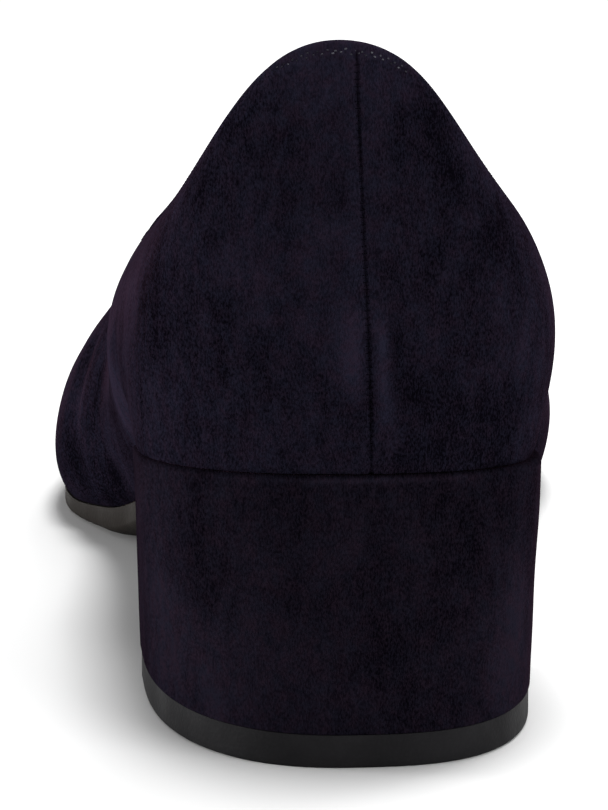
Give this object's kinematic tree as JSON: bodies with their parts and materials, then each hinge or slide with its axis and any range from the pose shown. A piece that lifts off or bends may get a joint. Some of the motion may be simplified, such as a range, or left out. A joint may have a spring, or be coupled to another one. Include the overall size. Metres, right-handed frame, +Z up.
{
  "type": "low heel pump",
  "caption": "Low block-heel pump, left shoe, in dark suede: hollow upper with a peaked back collar, thin sole with toe spring, suede-covered heel and rubber top lift.",
  "frame": {"origin": "centre of the shoe's box on the floor it stands on", "axes": "+Y from the heel to the toe, +X to the inner side of the foot, +Z up"},
  "size_m": [0.088, 0.2472, 0.1016],
  "materials": {
    "suede_upper": "napped suede",
    "insole_leather": "smooth lining leather",
    "sole_rubber": "matt",
    "suede_heel": "napped suede over a block",
    "lift_rubber": "matt"
  },
  "bodies": {
    "root": {"upper": "suede_upper", "insole": "insole_leather", "outsole": "sole_rubber", "heel_block": "suede_heel", "top_lift": "lift_rubber"}
  },
  "joints": []
}
